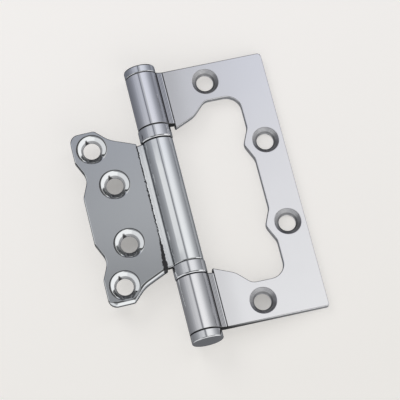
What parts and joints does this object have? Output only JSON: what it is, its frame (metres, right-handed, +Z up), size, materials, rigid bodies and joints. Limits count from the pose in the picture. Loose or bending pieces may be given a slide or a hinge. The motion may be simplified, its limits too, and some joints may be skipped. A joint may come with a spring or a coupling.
{
  "type": "flush hinge",
  "caption": "Flush hinge whose inner leaf folds flat into the window of the outer leaf, on a round capped barrel with ball bearing rings.",
  "frame": {"origin": "on the back face of the outer leaf, midway between its two side screw holes, where it lies against the frame it is screwed to", "axes": "+Y out of the outer leaf's back face, into the frame behind it; +Z up along the barrel; +X from the barrel to the outer leaf's free edge"},
  "size_m": [0.0761, 0.0119, 0.1062],
  "materials": {
    "satin_steel": "satin polished stainless steel",
    "polished_steel": "mirror polished stainless steel",
    "bright_steel": "bright turned stainless steel",
    "bearing_steel": "ground hardened steel",
    "cage_brass": "plain stamped brass"
  },
  "bodies": {
    "frame_side": {"outer_leaf": "satin_steel", "hinge_pin": "bright_steel", "bottom_plug": "bright_steel", "upper_bearing_ring": "bright_steel", "lower_bearing_ring": "bright_steel", "upper_fixed_race": "bearing_steel", "lower_fixed_race": "bearing_steel"},
    "door_side": {"inner_leaf": "polished_steel", "upper_turning_race": "bearing_steel", "lower_turning_race": "bearing_steel"},
    "upper_ball_set": {"upper_ball_cage": "cage_brass", "upper_balls": "bearing_steel"},
    "lower_ball_set": {"lower_ball_cage": "cage_brass", "lower_balls": "bearing_steel"}
  },
  "joints": [
    {"name": "leaf_swing", "type": "hinge", "parent": "frame_side", "child": "door_side", "pos_m": [-0.03865, -0.00125, 0], "axis": [0, 0, 1], "range_deg": [-86, 184]},
    {"name": "upper_ball_roll", "type": "hinge", "parent": "frame_side", "child": "upper_ball_set", "pos_m": [-0.03865, -0.00125, 0.02645], "axis": [0, 0, 1], "range_deg": [-44, 93]},
    {"name": "lower_ball_roll", "type": "hinge", "parent": "frame_side", "child": "lower_ball_set", "pos_m": [-0.03865, -0.00125, -0.02645], "axis": [0, 0, 1], "range_deg": [-44, 93]}
  ],
  "couplings": [
    {"joint": "upper_ball_roll", "follows": "leaf_swing", "ratio": 0.5},
    {"joint": "lower_ball_roll", "follows": "leaf_swing", "ratio": 0.5}
  ]
}
